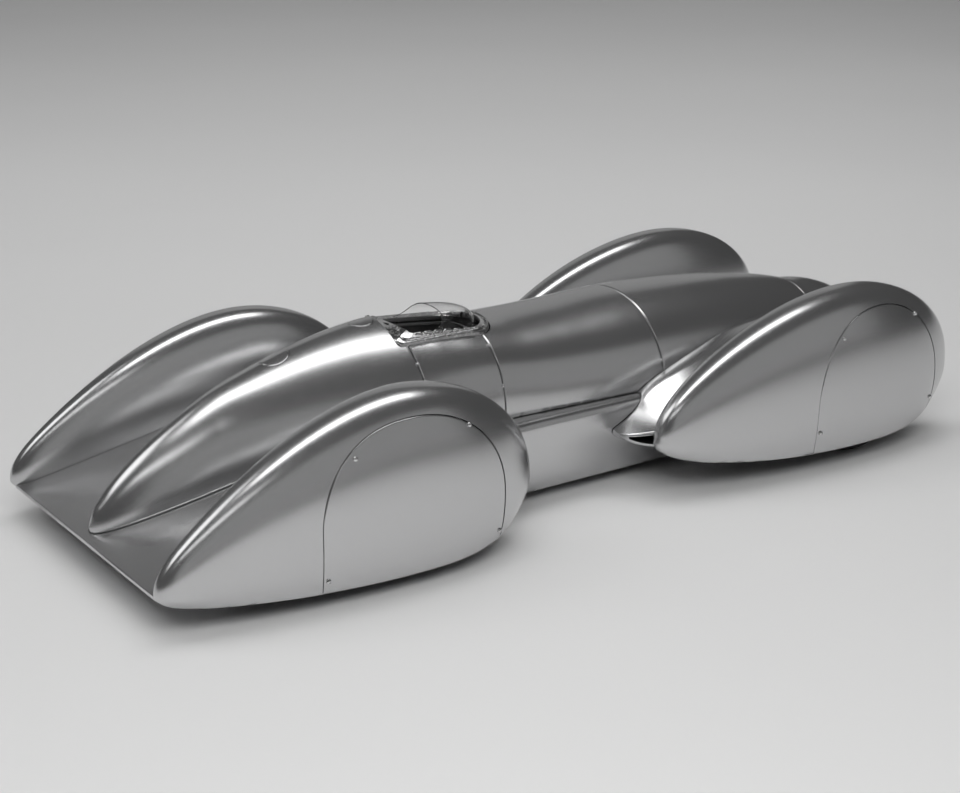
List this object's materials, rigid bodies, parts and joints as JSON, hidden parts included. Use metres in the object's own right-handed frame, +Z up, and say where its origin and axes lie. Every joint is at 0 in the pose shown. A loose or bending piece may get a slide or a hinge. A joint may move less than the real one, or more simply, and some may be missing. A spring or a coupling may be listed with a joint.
{
  "type": "streamlined record car display model",
  "caption": "Silver streamlined record car display model with teardrop wheel fairings, tapered spine over a flat wedge tail, hinged cockpit surround with a half-dome screen, and turning wheels.",
  "frame": {"origin": "centre of the bounding box in plan, on the ground plane under the tyres", "axes": "+X towards the nose, +Y to the car's left, +Z up"},
  "size_m": [0.2824, 0.116, 0.0553],
  "materials": {
    "silver_paint": "satin metallic lacquer with fine flake",
    "bright_metal": "bright nickel, slightly worn",
    "wheel_alloy": "satin",
    "tyre_rubber": "matt black",
    "black_chassis": "matt black",
    "black_rim": "satin black",
    "seat_leather": "dark, low sheen",
    "clear_screen": "clear, polished"
  },
  "bodies": {
    "car_body": {"axle_block_front": "black_chassis", "axle_block_rear": "black_chassis", "base_screw_1": "bright_metal", "base_screw_2": "bright_metal", "belly_plate": "black_chassis", "bonnet": "silver_paint", "cockpit_side_left": "silver_paint", "cockpit_side_right": "silver_paint", "cockpit_tub": "black_chassis", "cover_screw_front_left_1": "bright_metal", "cover_screw_front_left_2": "bright_metal", "cover_screw_front_left_3": "bright_metal", "cover_screw_front_left_4": "bright_metal", "cover_screw_front_right_1": "bright_metal", "cover_screw_front_right_2": "bright_metal", "cover_screw_front_right_3": "bright_metal", "cover_screw_front_right_4": "bright_metal", "cover_screw_rear_left_1": "bright_metal", "cover_screw_rear_left_2": "bright_metal", "cover_screw_rear_left_3": "bright_metal", "cover_screw_rear_left_4": "bright_metal", "cover_screw_rear_right_1": "bright_metal", "cover_screw_rear_right_2": "bright_metal", "cover_screw_rear_right_3": "bright_metal", "cover_screw_rear_right_4": "bright_metal", "dashboard": "black_chassis", "fairing_front_left": "silver_paint", "fairing_front_right": "silver_paint", "fairing_rear_left": "silver_paint", "fairing_rear_right": "silver_paint", "front_bonnet": "silver_paint", "lower_body": "silver_paint", "nose_cone": "silver_paint", "seat": "seat_leather", "steering_column": "bright_metal", "tail_spine": "silver_paint", "wheel_cover_front_left": "silver_paint", "wheel_cover_front_right": "silver_paint", "wheel_cover_rear_left": "silver_paint", "wheel_cover_rear_right": "silver_paint", "wing_left": "silver_paint", "wing_right": "silver_paint"},
    "rear_wheelset": {"axle_rear": "bright_metal", "tyre_rear_left": "tyre_rubber", "tyre_rear_right": "tyre_rubber", "wheel_rear_left": "wheel_alloy", "wheel_rear_right": "wheel_alloy"},
    "front_wheelset": {"axle_front": "bright_metal", "tyre_front_left": "tyre_rubber", "tyre_front_right": "tyre_rubber", "wheel_front_left": "wheel_alloy", "wheel_front_right": "wheel_alloy"},
    "cockpit_hatch": {"cockpit_rim": "bright_metal", "windscreen": "clear_screen", "rim_hinge": "bright_metal"},
    "rear_filler_lid": {"filler_cap_rear": "silver_paint"},
    "front_filler_lid": {"filler_cap_front": "silver_paint"},
    "steering": {"steering_wheel": "black_rim"}
  },
  "joints": [
    {"name": "rear_axle_spin", "type": "hinge", "parent": "car_body", "child": "rear_wheelset", "pos_m": [-0.07361, 0, 0.02263], "axis": [0, 1, 0], "continuous": true},
    {"name": "front_axle_spin", "type": "hinge", "parent": "car_body", "child": "front_wheelset", "pos_m": [0.09224, 0, 0.02263], "axis": [0, 1, 0], "continuous": true},
    {"name": "cockpit_hatch_hinge", "type": "hinge", "parent": "car_body", "child": "cockpit_hatch", "pos_m": [-0.03641, -0.01333, 0.05052], "axis": [1, 0, 0], "range_deg": [0, 95]},
    {"name": "rear_filler_hinge", "type": "hinge", "parent": "car_body", "child": "rear_filler_lid", "pos_m": [-0.0864, 0, 0.04789], "axis": [0, -1, 0], "range_deg": [0, 100]},
    {"name": "front_filler_hinge", "type": "hinge", "parent": "car_body", "child": "front_filler_lid", "pos_m": [-0.05881, 0, 0.05424], "axis": [0, -1, 0], "range_deg": [0, 100]},
    {"name": "steering_turn", "type": "hinge", "parent": "car_body", "child": "steering", "pos_m": [-0.02866, 0, 0.04061], "axis": [-0.9292, 0, 0.3697], "range_deg": [-110, 110]}
  ]
}
